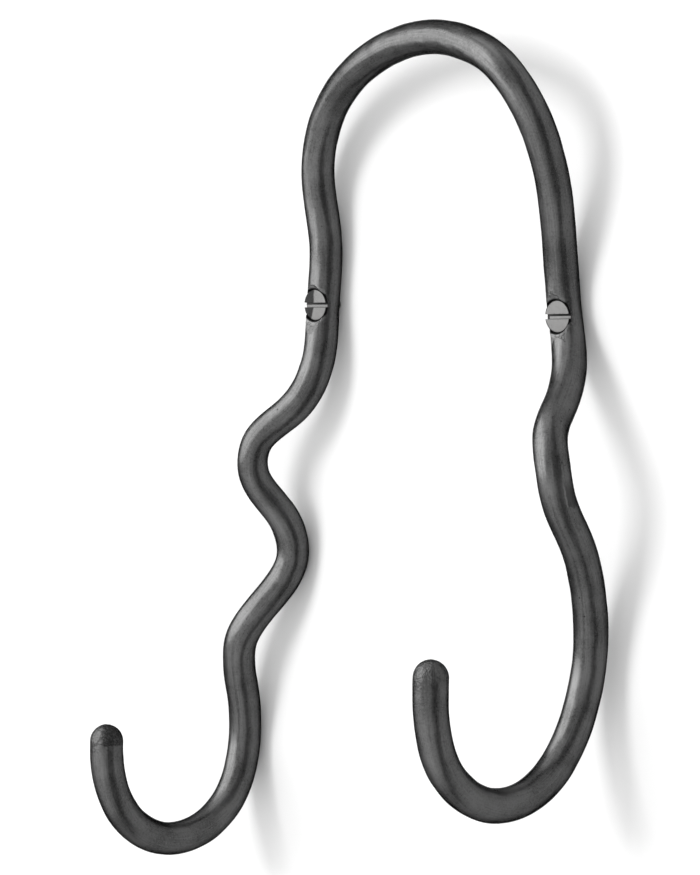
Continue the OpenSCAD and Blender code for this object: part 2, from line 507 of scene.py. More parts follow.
@dataclass(frozen=True)
class BlackenedSteel:
    """Hot-blackened bar, worked to a satin sheen by rubbing."""

    name: str = "blackened_steel"
    dark: float = 0.051
    pale: float = 0.098
    patina: Span = (0.15, 0.85)
    # Tone of the worn ring round each hole, which also serves as a painted light catch on its
    # edge, and of the flake's bright edge.
    worn: float = 0.12
    worn_grain: Span = (0.25, 0.6)
    # Tone of the flake of scale, also used for the painted dark reflection on the left nose and
    # the painted gap shadow round each hole.
    scale: float = 0.022
    edge_tint: float = 0.24
    roughness: float = 0.31
    cloud_roughness: float = 0.14
    grain_roughness: float = 0.2
    scale_roughness: float = 0.2
    nose_roughness: float = 0.12
    cloud_size: float = 11.0
    cloud_share: float = 1.2
    grain_size: float = 0.5
    grain_share: float = 0.75
    grain_height: float = 0.7
    streak_length: float = 9.0
    streak_width: float = 0.035
    streak_share: float = 0.8
    streak_height: float = 0.3
    fine_strength: float = 0.8
    fine_depth: float = 0.03
    hammer_size: float = 1.1
    hammer_depth: float = 0.35
    hammer_reach: Span = (-0.5, 3.5)
    seat_ring_and_shadow: SeatRingAndShadow = SeatRingAndShadow()
    nose_reflection: PaintedNoseReflection = PaintedNoseReflection()
    flake: LegFlake = LegFlake()
    pits: Pits = Pits()

    def build(self, seats: "list[Seat]", nose: Point, bulge: Point) -> bpy.types.Material:
        """Makes the material.

        Args:
            seats: Where the screws stand, with a lighter ring and a painted gap shadow round their
                holes.
            nose: Where the left nose starts, which gets a painted dark reflection.
            bulge: The right leg's bulge, with a flake of scale below it.

        Returns:
            The finished material.
        """
        material, maker, shader = new_material(self.name)
        where = maker.make("ShaderNodeTexCoord", output="Object")
        clouds = maker.noise(where, self.cloud_size, 3.0, 0.55)
        grain = maker.noise(where, self.grain_size, 2.0, 0.6)
        streaks = self.streaks(maker)
        patina = clouds.swing(self.cloud_share) + grain.swing(self.grain_share)
        patina = patina + streaks.swing(self.streak_share) + 0.5
        colour = maker.mix(patina.rise(*self.patina), grey(self.dark), grey(self.pale))
        # A lighter ring round each hole: worn metal and a painted light catch on its edge.
        bare_and_lit, gap_shadow = self.seat_ring_and_shadow.masks(maker, where, seats)
        colour = maker.mix(bare_and_lit * grain.rise(*self.worn_grain), colour, grey(self.worn))
        flake, bright_edge = self.flake.masks(maker, where, bulge)
        colour = maker.mix(bright_edge, colour, grey(self.worn))
        # The flake of scale, the painted dark reflection on the left nose and the painted gap
        # shadows all take the scale tone.
        scale = self.nose_reflection.mask(maker, where, nose).most(gap_shadow).most(flake)
        colour = maker.mix(scale, colour, grey(self.scale))
        pits = self.pits.mask(maker, where)
        colour = maker.mix(pits, colour, grey(self.dark * self.pits.shade))
        tip = maker.make("ShaderNodeAttribute", {"attribute_name": BAR_TIP}, output="Fac") / MM
        hammered = 1 - tip.rise(*self.hammer_reach)
        rough = clouds.swing(self.cloud_roughness) + grain.swing(self.grain_roughness)
        rough = rough + (pits + scale) * self.scale_roughness + hammered * self.nose_roughness
        height = grain * self.grain_height + streaks * self.streak_height
        normal = maker.bump(height, self.fine_strength, self.fine_depth)
        blows = maker.noise(where, self.hammer_size, 2.0, 0.6) * hammered
        normal = maker.bump(blows, 1.0, self.hammer_depth, normal)
        normal = maker.bump(1 - pits, self.pits.strength, self.pits.depth, normal)
        looks = {"Base Color": colour, "Roughness": rough + self.roughness, "Normal": normal}
        maker.feed(shader, looks | {"Metallic": 1.0, "Specular Tint": grey(self.edge_tint)})
        return material

    def streaks(self, maker: NodeMaker) -> Value:
        """Draws faint lines that run along the bar.

        Args:
            maker: Maker of the material's nodes.

        Returns:
            A number round 0.5.
        """
        along = maker.make("ShaderNodeAttribute", {"attribute_name": BAR_ALONG}, output="Fac")
        across = maker.make("ShaderNodeAttribute", {"attribute_name": BAR_ACROSS}, output="Vector")
        side, other, _ = maker.split(across)
        sockets = {
            0: along / (self.streak_length * MM),
            1: side / self.streak_width,
            2: other / self.streak_width,
        }
        line = maker.make("ShaderNodeCombineXYZ", {}, sockets)
        sockets = {"Vector": line, "Scale": 1.0, "Detail": 2.0}
        return maker.make("ShaderNodeTexNoise", {}, sockets, "Fac")


@dataclass(frozen=True)
class SlotShade:
    """Painted shade in a screw's slot along its upper corner and at its left end, and a darker
    band on its lower lip.
    """

    head: Span = (0.9, 1.2)
    sunk: Span = (0.1, 0.35)
    corner: Span = (0.0, 0.12)
    lip: Span = (0.05, 0.16)
    lip_share: float = 0.5
    end: float = 0.0
    end_blur: float = 0.15

    def mask(self, place: list[Value], head_r: float, slot_w: float, slot_turn: float) -> Value:
        """Draws the painted shade and the darker band.

        Args:
            place: Distances across, into and up from the middle of the head's top.
            head_r: Radius of the head in millimetres.
            slot_w: Width of the slot in millimetres.
            slot_turn: Turn of the slot in degrees.

        Returns:
            1 where it is darker and 0 elsewhere.
        """
        across, depth, up = place
        turn = math.radians(slot_turn)
        lift = up * math.cos(turn) + across * math.sin(turn)
        head = 1 - depth.rise(*self.head)
        sunk = depth.rise(*self.sunk) * head
        # Painted shade in the upper corner, which the upper wall of the slot shades.
        corner = sunk * lift.rise(*self.corner)
        lip = (1 - abs(lift + slot_w / 2).rise(*self.lip)) * head * self.lip_share
        # Painted shade at the slot's left end.
        end = sunk * (1 - across.step(self.end - head_r, self.end_blur))
        return corner.most(lip).most(end)


@dataclass(frozen=True)
class PaintedHeadReflection:
    """A painted dark reflection over the left part of a screw's head."""

    strength: float = 0.0
    edge: float = -0.45
    blur: float = 0.25
    curve: float = 0.09
    blotch_rag: float = 0.8
    grain_rag: float = 0.5
    depth: Span = (0.15, 0.4)
    grain: Span = (0.2, 0.7)
    thinnest: float = 0.84

    def mask(self, place: list[Value], blotches: Value, grain: Value) -> Value:
        """Draws the painted reflection.

        Args:
            place: Distances across, into and up from the middle of the head's top.
            blotches: The plating's coarse noise.
            grain: Its fine noise.

        Returns:
            1 on the painted reflection and 0 elsewhere.
        """
        across, depth, up = place
        below = up.least(0.0)
        side = across + below * below * self.curve
        side = side + blotches.swing(self.blotch_rag) + grain.swing(self.grain_rag)
        painted_reflection = (1 - side.step(self.edge, self.blur)) * self.strength
        cover = grain.rise(*self.grain) * (1 - self.thinnest) + self.thinnest
        return painted_reflection * (1 - depth.rise(*self.depth)) * cover


@dataclass(frozen=True)
class PlatedSteel:
    """Dark plating on a screw, turned on the head, with painted shade in the slot, at the head's
    edge and on the shank, and where asked a painted dark reflection over the head.
    """

    name: str = "screw_steel"
    bright: float = 0.074
    dull: float = 0.056
    # Tone of the painted shade and the painted dark reflection.
    painted_dark: float = 0.004
    thread: float = 0.12
    warmth: float = 0.01
    blotch_size: float = 1.6
    blotch_share: float = 0.7
    grain_ratio: float = 9.0
    grain_share: float = 0.5
    mottle: Span = (0.35, 0.85)
    roughness: float = 0.3
    blotch_roughness: float = 0.2
    rim_roughness: float = 0.15
    # Painted shade at the head's edge, where it meets its hole.
    painted_rim_shade: Span = (0.32, 0.16)
    rim_rag: float = 0.12
    ring_gap: float = 0.19
    ring_height: float = 0.5
    grain_height: float = 2.0
    fine_strength: float = 0.6
    fine_depth: float = 0.006
    # Painted shadow on the shank, which the bar shades, over this depth.
    shank_depth: Span = (1.6, 2.3)
    painted_shank_shade: float = 0.75
    thread_depth: Span = (7.1, 7.7)
    slot: SlotShade = SlotShade()
    painted_reflection: PaintedHeadReflection = PaintedHeadReflection()

    def build(
        self, seat: "Seat", head_r: float, slot_w: float, slot_turn: float
    ) -> bpy.types.Material:
        """Makes the material.

        Args:
            seat: Where the screw stands.
            head_r: Radius of the screw's head in millimetres.
            slot_w: Width of its slot in millimetres.
            slot_turn: Turn of its slot in degrees.

        Returns:
            The finished material.
        """
        material, maker, shader = new_material(self.name)
        where = maker.make("ShaderNodeTexCoord", output="Object")
        place = maker.offsets(where, seat.middle)
        across, depth, up = place
        radius = across.away(up)
        blotches = maker.noise(where, self.blotch_size, 3.0, 0.6)
        grain = maker.noise(where, self.blotch_size / self.grain_ratio, 2.0, 0.6)
        mottle = (blotches * self.blotch_share + grain * self.grain_share).rise(*self.mottle)
        colour = maker.mix(mottle, grey(self.dull, self.warmth), grey(self.bright, self.warmth))
        threaded = depth.rise(*self.thread_depth)
        colour = maker.mix(threaded, colour, grey(self.thread, self.warmth))
        # Painted shade at the head's edge.
        rim_start, rim_end = (head_r - inset for inset in self.painted_rim_shade)
        painted_rim_shade = (radius + blotches.swing(self.rim_rag)).rise(rim_start, rim_end)
        slot = self.slot.mask(place, head_r, slot_w, slot_turn)
        painted_reflection = self.painted_reflection.mask(place, blotches, grain)
        # Painted shadow on the shank.
        shank = depth.rise(*self.shank_depth) * (1 - threaded) * self.painted_shank_shade
        # The painted shade and the painted reflection all take the painted dark tone.
        colour = maker.mix(painted_rim_shade.most(slot).most(painted_reflection).most(shank), colour, grey(self.painted_dark))
        rough = blotches.swing(self.blotch_roughness) + painted_rim_shade * self.rim_roughness + self.roughness
        turns = radius * (2 * math.pi / self.ring_gap)
        height = turns.maths("SINE", turns) * self.ring_height + grain * self.grain_height
        normal = maker.bump(height, self.fine_strength, self.fine_depth)
        looks = {"Base Color": colour, "Roughness": rough, "Normal": normal, "Metallic": 1.0}
        maker.feed(shader, looks)
        return material


@dataclass(frozen=True)
class StagePaint:
    """Matt paint on the wall and floor, clear from its back, so that it hides nothing."""

    name: str = "stage_paint"
    level: float = 0.6

    def build(self) -> bpy.types.Material:
        """Makes the material.

        Returns:
            The finished material.
        """
        material, maker, shader = new_material(self.name)
        looks = {"Base Color": grey(self.level), "Roughness": 1.0, "Specular IOR Level": 0.0}
        maker.feed(shader, looks)
        behind = maker.make("ShaderNodeNewGeometry", output="Backfacing")
        clear = maker.make("ShaderNodeBsdfTransparent")
        front = Value(maker, shader.outputs[0])
        mixed = maker.make("ShaderNodeMixShader", {}, {0: behind, 1: front, 2: clear})
        output = next(node for node in maker.tree.nodes if node.type == "OUTPUT_MATERIAL")
        maker.feed(output, {"Surface": mixed})
        return material


class Input(Enum):
    """Kinds of named input that a node tree takes."""

    GEOMETRY = "NodeSocketGeometry"
    NUMBER = "NodeSocketFloat"
    COUNT = "NodeSocketInt"
    MATERIAL = "NodeSocketMaterial"


class ShapeTree:
    """A geometry tree with named inputs that turns one object's mesh into another."""

    def __init__(self, name: str, inputs: dict[str, Input]) -> None:
        """Makes the tree with its inputs and one mesh as its output.

        Args:
            name: The tree's name.
            inputs: Kind of each input after the geometry, by name.
        """
        self.tree = bpy.data.node_groups.new(name, "GeometryNodeTree")
        self.maker = NodeMaker(self.tree)
        sockets = {"Geometry": Input.GEOMETRY, **inputs}
        self.ids = {key: self.socket(key, kind, "INPUT") for key, kind in sockets.items()}
        self.socket("Geometry", Input.GEOMETRY, "OUTPUT")
        self.given = self.maker.add("NodeGroupInput")

    def socket(self, name: str, kind: Input, way: str) -> str:
        """Adds a socket to the tree's outside.

        Args:
            name: The socket's name.
            kind: What it takes.
            way: INPUT or OUTPUT.

        Returns:
            The socket's identifier.
        """
        make = self.tree.interface.new_socket
        return make(name=name, in_out=way, socket_type=kind.value).identifier

    def take(self, name: str) -> Value:
        """Gives a named input inside the tree."""
        return Value(self.maker, self.given.outputs[name])

    def read(self, name: str, kind: str = "FLOAT") -> Value:
        """Gives a named attribute of the shape, of the given kind."""
        settings, sockets = {"data_type": kind}, {"Name": name}
        return self.maker.make("GeometryNodeInputNamedAttribute", settings, sockets, "Attribute")

    def close(self, shape: Value, material: Value) -> None:
        """Ends the tree in a realised mesh with its material.

        Args:
            shape: The shape that the tree makes.
            material: The material that it gets.
        """
        real = self.maker.make("GeometryNodeRealizeInstances", {}, {"Geometry": shape})
        sockets = {"Geometry": real, "Material": material}
        dressed = self.maker.make("GeometryNodeSetMaterial", {}, sockets)
        self.maker.add("NodeGroupOutput", {}, {"Geometry": dressed})

    def attach(self, piece: bpy.types.Object, values: dict) -> None:
        """Puts the tree on an object.

        Args:
            piece: The object that it works on.
            values: Value of each named input.
        """
        modifier = piece.modifiers.new(self.tree.name, "NODES")
        modifier.node_group = self.tree
        for name, value in values.items():
            modifier[self.ids[name]] = value


def new_object(name: str, mesh: bpy.types.Mesh) -> bpy.types.Object:
    """Puts a mesh in the scene.

    Args:
        name: The object's name.
        mesh: Its mesh.

    Returns:
        The object, at the origin.
    """
    piece = bpy.data.objects.new(name, mesh)
    bpy.context.scene.collection.objects.link(piece)
    return piece


def settle(piece: bpy.types.Object) -> None:
    """Turns an object's modifiers into a plain mesh.

    Args:
        piece: The object, which keeps its name.
    """
    depsgraph = bpy.context.evaluated_depsgraph_get()
    mesh = bpy.data.meshes.new_from_object(piece.evaluated_get(depsgraph), depsgraph=depsgraph)
    piece.modifiers.clear()
    piece.data = mesh
    mesh.name = piece.name


def cut(piece: bpy.types.Object, tool: bpy.types.Object) -> None:
    """Cuts one closed shape out of another.

    Args:
        piece: What is cut.
        tool: Shape of the cut, which is thrown away.
    """
    modifier = piece.modifiers.new("cut", "BOOLEAN")
    modifier.operation = "DIFFERENCE"
    modifier.solver = "EXACT"
    modifier.object = tool
    settle(piece)
    bpy.data.objects.remove(tool)


def shade(piece: bpy.types.Object, angle: float) -> None:
    """Smooths a mesh and keeps its sharp edges.

    Args:
        piece: The object.
        angle: Angle in degrees from which an edge is sharp.
    """
    mesh = bmesh.new()
    mesh.from_mesh(piece.data)
    bmesh.ops.remove_doubles(mesh, verts=mesh.verts, dist=MERGE_GAP)
    bmesh.ops.recalc_face_normals(mesh, faces=mesh.faces)
    for face in mesh.faces:
        face.smooth = True
    for edge in mesh.edges:
        closed = len(edge.link_faces) == 2
        edge.smooth = closed and edge.calc_face_angle(0.0) < math.radians(angle)
    mesh.to_mesh(piece.data)
    mesh.free()


@dataclass(frozen=True)
class Seat:
    """Where a screw holds the bar: the middle of the top of the screw's head."""

    x: float
    front: float
    z: float

    @property
    def middle(self) -> Point:
        """Gives the seat as a place in millimetres."""
        return (self.x, self.front, self.z)

    def place(self, radius: float, angle: float, depth: float) -> Point:
        """Gives a place round the screw's axis.

        Args:
            radius: Distance from the axis.
            angle: Angle round it, in radians, from +x downwards.
            depth: Distance into the wall from the top of the head.

        Returns:
            The place in metres.
        """
        x = self.x + radius * math.cos(angle)
        z = self.z - radius * math.sin(angle)
        return (x * MM, (self.front + depth) * MM, z * MM)

    def lathe(self, name: str, profile: list[Span], segments: int) -> bpy.types.Object:
        """Turns a profile about the screw's axis into a closed shape.

        Args:
            name: The object's name.
            profile: Radius and depth of each ring, starting and ending on the axis.
            segments: Faces round the axis.

        Returns:
            The turned object.
        """
        mesh = bmesh.new()
        steps = [2 * math.pi * k / segments for k in range(segments)]
        rings = []
        for radius, depth in profile:
            around = steps if radius > 0 else steps[:1]
            rings.append([mesh.verts.new(self.place(radius, step, depth)) for step in around])
        for upper, lower in zip(rings, rings[1:]):
            for k in range(segments):
                around = (upper, k), (upper, k + 1), (lower, k + 1), (lower, k)
                corners = [ring[j % len(ring)] for ring, j in around]
                mesh.faces.new(list(dict.fromkeys(corners)))
        bmesh.ops.recalc_face_normals(mesh, faces=mesh.faces)
        data = bpy.data.meshes.new(name)
        mesh.to_mesh(data)
        mesh.free()
        return new_object(name, data)


@dataclass(frozen=True)
class BarRoute:
    """The places that the bar's centre line is bent through, and the smooth curve through them."""

    rod_d: float = 8.0
    screw_spacing: float = 76.5
    left_gap: float = 0.4
    right_gap: float = 0.1
    wall_gap: float = 0.2
    crown: Point = (10.0, -18.2, 61.6)
    shoulder: Point = (33.5, -21.5, 56.1)
    haunch: Point = (42.3, -14.6, 35.6)
    upper_wave: Point = (-52.6, -14.4, -36.4)
    left_touch_x: float = 49.0
    left_touch_drop: float = 60.4
    lower_wave: Point = (-60.4, -10.0, -79.9)
    left_hook_x: float = 65.5
    left_hook_drop: float = 126.4
    left_hook_r: float = 22.0
    left_tip_len: float = 3.4
    bulge: Point = (52.6, -23.5, -31.4)
    right_foot_x: float = 48.4
    right_hook_x: float = 47.2
    right_hook_drop: float = 104.9
    right_back_out: float = 6.7
    right_reach: float = 55.5
    right_sweep_h: float = 30.0
    right_front_r: float = 23.0
    right_tip_len: float = 7.0
    fine_steps: int = 40

    @property
    def rod_r(self) -> float:
        """Gives the bar's radius."""
        return self.rod_d / 2

    def seats(self) -> tuple[Point, Point]:
        """Gives the places of the bar's centre at the left and the right screw."""
        half = self.screw_spacing / 2
        return (-half, -self.rod_r - self.left_gap, 0.0), (half, -self.rod_r - self.right_gap, 0.0)

    @staticmethod
    def between(first: Point, second: Point, *shares: Point) -> list[Point]:
        """Gives places between two others.

        Args:
            first: Place at share 0.
            second: Place at share 1.
            shares: Share of the way along each axis, for each place.

        Returns:
            One place for each share.
        """
        places = []
        for share in shares:
            places.append(tuple(a + s * (b - a) for a, b, s in zip(first, second, share)))
        return places

    @staticmethod
    def bend(
        x: float, out: float, z: float, reach: float, rise: float, angles: range
    ) -> list[Point]:
        """Gives places on a round bend that stands square to the wall.

        Args:
            x: Sideways place of the bend.
            out: Distance of its centre from the wall.
            z: Height of its centre.
            reach: Its radius away from the wall.
            rise: Its radius up and down.
            angles: Angles in degrees, where 0 points away from the wall.

        Returns:
            One place for each angle.
        """
        turns = [math.radians(angle) for angle in angles]
        return [(x, -out - reach * math.cos(turn), z + rise * math.sin(turn)) for turn in turns]

    def left_hook(self) -> list[Point]:
        """Bends the left hook.

        Returns:
            Its places, from its nose to its back.
        """
        x, radius = -self.left_hook_x, self.left_hook_r
        out = self.rod_r + self.wall_gap + radius
        z = radius - self.left_hook_drop
        tip = (x, -out - radius, z + self.left_tip_len)
        return [tip] + self.bend(x, out, z, radius, radius, range(0, -181, -36))

    def right_hook(self) -> list[Point]:
        """Bends the right hook.

        Returns:
            Its places, from below its foot to its nose.
        """
        x, radius = self.right_hook_x, self.right_front_r
        out = self.right_reach - radius
        reach = out - self.right_back_out
        low, high = radius - self.right_hook_drop, self.right_sweep_h - self.right_hook_drop
        sweep = self.bend(x, out, high, reach, self.right_sweep_h, range(-150, -89, 30))
        front = self.bend(x, out, low, radius, radius, range(-60, 1, 30))
        return sweep + front + [(x, -self.right_reach, low + self.right_tip_len)]

    def stations(self) -> np.ndarray:
        """Lines up every place that the bar is bent through.

        Returns:
            The places, one to a row, from the left nose over the arch to the right nose.
        """
        left_seat, right_seat = self.seats()
        left_hook, right_hook = self.left_hook(), self.right_hook()
        touch = (-self.left_touch_x, -self.rod_r - self.wall_gap, -self.left_touch_drop)
        foot = (self.right_foot_x, -self.right_back_out, self.right_sweep_h - self.right_hook_drop)
        climb = (0.13, 0.05, 0.11), (0.67, 0.45, 0.33), (1.02, 0.8, 0.64)
        left_leg = [
            *self.between(left_hook[-1], self.lower_wave, (0.3, 0.32, 0.4), (1, 1, 1)),
            *self.between(self.lower_wave, touch, (0.69, 0.6, 0.6), (1, 1, 1)),
            *self.between(touch, self.upper_wave, (0.12, 0.3, 0.44), (1, 0.88, 0.85)),
            *self.between(self.upper_wave, left_seat, *climb),
        ]
        rise = (0.02, 0.01, 0.24), (0.02, 0.19, 0.48), (0.16, 0.44, 0.71), (0.46, 0.72, 0.89)
        arch = [
            left_seat,
            *self.between(left_seat, self.crown, *rise, (1, 1, 1)),
            *self.between(self.crown, self.shoulder, (0.65, 0.8, 0.35), (1, 1, 1)),
            *self.between(self.shoulder, self.haunch, (0.8, 0.36, 0.46), (1, 1, 1)),
            *self.between(self.haunch, right_seat, (0.58, 0.6, 0.44), (1, 1, 1)),
        ]
        out = (0.34, 0.2, 0.34), (0.61, 0.55, 0.58), (0.84, 0.91, 0.79), (1, 1, 1)
        back = (-0.1, 0.07, 0.15), (0, 0.46, 0.4), (0.52, 0.85, 0.7), (1, 1, 1)
        right_leg = self.between(right_seat, self.bulge, *out)
        right_leg += self.between(self.bulge, foot, *back)
        return np.array([*left_hook, *left_leg, *arch, *right_leg, *right_hook])

    def centre_line(self, gap: float) -> np.ndarray:
        """Draws a natural cubic spline through the stations, in even steps.

        Args:
            gap: Distance between two of its points.

        Returns:
            The points, one to a row.
        """
        places = self.stations()
        span = np.linalg.norm(np.diff(places, axis=0), axis=1)
        slope = np.diff(places, axis=0) / span[:, None]
        count = len(places)
        system = np.eye(count)
        pull = np.zeros_like(places)
        for k in range(1, count - 1):
            system[k, k - 1:k + 2] = span[k - 1], 2 * (span[k - 1] + span[k]), span[k]
            pull[k] = 6 * (slope[k] - slope[k - 1])
        bends = np.linalg.solve(system, pull)
        fine = []
        for k in range(count - 1):
            t = np.linspace(0, 1, self.fine_steps, endpoint=k == count - 2)[:, None]
            curve = ((1 - t) ** 3 - (1 - t)) * bends[k] + (t**3 - t) * bends[k + 1]
            fine.append((1 - t) * places[k] + t * places[k + 1] + span[k] ** 2 / 6 * curve)
        line = np.concatenate(fine)
        length = np.concatenate([[0], np.cumsum(np.linalg.norm(np.diff(line, axis=0), axis=1))])
        even = np.linspace(0, length[-1], round(length[-1] / gap) + 1)
        return np.column_stack([np.interp(even, length, line[:, axis]) for axis in range(3)])


@dataclass
class BentBar:
    """The bar: a round section swept along its route, dented by the hammer and drilled."""

    route: BarRoute
    finish: BlackenedSteel
    name: str = "bent_bar"
    node: str = "hook_rod"
    section_r: float = 3.93
    sides: int = 56
    ring_gap: float = 0.55
    nose_h: float = 3.95
    nose_turn: float = 89.0
    nose_rings: int = 14
    waist: float = 0.07
    waist_length: float = 13.0
    flat_depth: float = 0.1
    flat_scale: float = 1.5
    flat_length: float = 13.0
    dent_depth: float = 0.02
    dent_size: float = 3.2
    dent_rise: Span = (0.3, 0.7)
    hole_r: float = 2.25
    bore_r: float = 3.86
    lip: float = 0.35
    dish_slope: float = 1.7
    seat_r: float = 3.8
    head_sink: float = 1.3
    rim_h: float = 0.5
    past: float = 1.0
    drill_sides: int = 96
    sharp_angle: float = 32.0

    def spine(self) -> bpy.types.Object:
        """Makes the bar's centre line, with the girth and the distance along it at each point.

        Returns:
            An object that holds only edges.
        """
        line = self.route.centre_line(self.ring_gap)
        length = np.arange(len(line)) * self.ring_gap
        turns = np.linspace(math.radians(self.nose_turn), 0, self.nose_rings, endpoint=False)
        nose, girth = self.nose_h * np.sin(turns), np.cos(turns)
        first, last = line[0] - line[1], line[-1] - line[-2]
        head = line[0] + nose[:, None] * first / np.linalg.norm(first)
        tail = line[-1] + nose[::-1, None] * last / np.linalg.norm(last)
        points = np.concatenate([head, line, tail]) * MM
        mesh = bpy.data.meshes.new(self.name)
        mesh.from_pydata(points, [(k, k + 1) for k in range(len(points) - 1)], [])
        along = np.concatenate([-nose, length, length[-1] + nose[::-1]])
        rows = {
            BAR_GIRTH: np.concatenate([girth, self.waisted(line), girth[::-1]]),
            BAR_ALONG: along * MM,
            BAR_TIP: np.minimum(along, length[-1] - along) * MM,
        }
        for name, row in rows.items():
            mesh.attributes.new(name, "FLOAT", "POINT").data.foreach_set("value", row)
        return new_object(self.name, mesh)

    def waisted(self, line: np.ndarray) -> np.ndarray:
        """Gives the bar's girth, which the smith drew a little thinner in the upper wave.

        Args:
            line: Points of the centre line.

        Returns:
            Share of the full girth at each point.
        """
        away = np.linalg.norm(line - np.array(self.route.upper_wave), axis=1)
        return 1 - self.waist * np.exp(-((away / self.waist_length) ** 2))

    def sweep(self) -> ShapeTree:
        """Builds the tree that sweeps the round section along the centre line.

        Returns:
            The tree.
        """
        inputs = {
            "Radius": Input.NUMBER, "Sides": Input.COUNT, "Material": Input.MATERIAL,
            "Flat depth": Input.NUMBER, "Flat scale": Input.NUMBER, "Flat length": Input.NUMBER,
            "Dent depth": Input.NUMBER, "Dent scale": Input.NUMBER,
        }
        tree = ShapeTree("bar_sweep", inputs)
        make = tree.maker.make
        path = make("GeometryNodeMeshToCurve", {}, {"Mesh": tree.take("Geometry")})
        sockets = {"Resolution": tree.take("Sides"), "Radius": tree.take("Radius")}
        ring = make("GeometryNodeCurvePrimitiveCircle", {}, sockets)
        turn = make("GeometryNodeSplineParameter", output="Factor") * (2 * math.pi)
        sockets = {0: turn.maths("COSINE", turn), 1: turn.maths("SINE", turn)}
        across = make("ShaderNodeCombineXYZ", {}, sockets)
        marked = make(
            "GeometryNodeStoreNamedAttribute", {"data_type": "FLOAT_VECTOR", "domain": "POINT"},
            {"Geometry": ring, "Name": BAR_ACROSS, "Value": across},
        )
        girth = tree.read(BAR_GIRTH)
        sockets = {"Curve": path, "Profile Curve": marked, "Scale": girth, "Fill Caps": True}
        skin = make("GeometryNodeCurveToMesh", {}, sockets)
        flats = self.dent(tree, self.unrolled(tree), "Flat")
        dents = self.dent(tree, make("GeometryNodeInputPosition"), "Dent")
        sockets = {0: make("GeometryNodeInputNormal"), "Scale": flats + dents}
        push = make("ShaderNodeVectorMath", {"operation": "SCALE"}, sockets)
        dented = make("GeometryNodeSetPosition", {}, {"Geometry": skin, "Offset": push})
        smooth = make("GeometryNodeSetShadeSmooth", {}, {"Geometry": dented})
        tree.close(smooth, tree.take("Material"))
        return tree

    def dent(self, tree: ShapeTree, where: Value, kind: str) -> Value:
        """Adds one layer of hammer dents, which only ever press in.

        Args:
            tree: The tree that sweeps the bar.
            where: Places on the bar.
            kind: First word of the layer's two inputs.

        Returns:
            How far the surface moves, in metres.
        """
        sockets = {"Vector": where, "Scale": tree.take(f"{kind} scale"), "Detail": 1.0}
        spots = tree.maker.make("ShaderNodeTexNoise", {}, sockets, "Fac")
        return (spots.rise(*self.dent_rise) - 1) * tree.take(f"{kind} depth")

    @staticmethod
    def unrolled(tree: ShapeTree) -> Value:
        """Gives places on the bar round its section and, much longer, along it.

        Args:
            tree: The tree that sweeps the bar.

        Returns:
            The places, with a flat's length as the unit along the bar.
        """
        make = tree.maker.make
        across = tree.read(BAR_ACROSS, "FLOAT_VECTOR")
        along = tree.read(BAR_ALONG) / tree.take("Flat length")
        step = make("ShaderNodeCombineXYZ", {}, {2: along})
        return make("ShaderNodeVectorMath", {"operation": "ADD"}, {0: across, 1: step})

    def drill(self, seat: Seat) -> bpy.types.Object:
        """Turns the drill that cuts a screw's hole and its countersunk seat.

        Args:
            seat: Where the screw holds the bar.

        Returns:
            The drill as a closed shape.
        """
        through = self.route.rod_d + self.past
        above = -self.head_sink - self.past
        profile = [
            (0, above),
            (self.bore_r + (-above - self.lip) * self.dish_slope, above),
            (self.bore_r, -self.lip),
            (self.bore_r, self.rim_h),
            (self.seat_r, self.rim_h),
            (self.hole_r, self.rim_h + self.seat_r - self.hole_r),
            (self.hole_r, through),
            (0, through),
        ]
        return seat.lathe("drill", profile, self.drill_sides)

    def build(self, seats: list[Seat]) -> bpy.types.Object:
        """Makes the bar.

        Args:
            seats: Where the screws hold it.

        Returns:
            The finished piece.
        """
        piece = self.spine()
        nose = self.route.left_hook()[0]
        values = {
            "Radius": self.section_r * MM,
            "Sides": self.sides,
            "Material": self.finish.build(seats, nose, self.route.bulge),
            "Flat depth": self.flat_depth * MM,
            "Flat scale": self.flat_scale,
            "Flat length": self.flat_length * MM,
            "Dent depth": self.dent_depth * MM,
            "Dent scale": 1 / (self.dent_size * MM),
        }
        self.sweep().attach(piece, values)
        settle(piece)
        for seat in seats:
            cut(piece, self.drill(seat))
        shade(piece, self.sharp_angle)
        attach(piece, ROOT_BODY)
        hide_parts(self.node)
        self.finish.name
        return piece


class Side(Enum):
    """The two screws, each with its node."""

    LEFT = "screw_left"
    RIGHT = "screw_right"


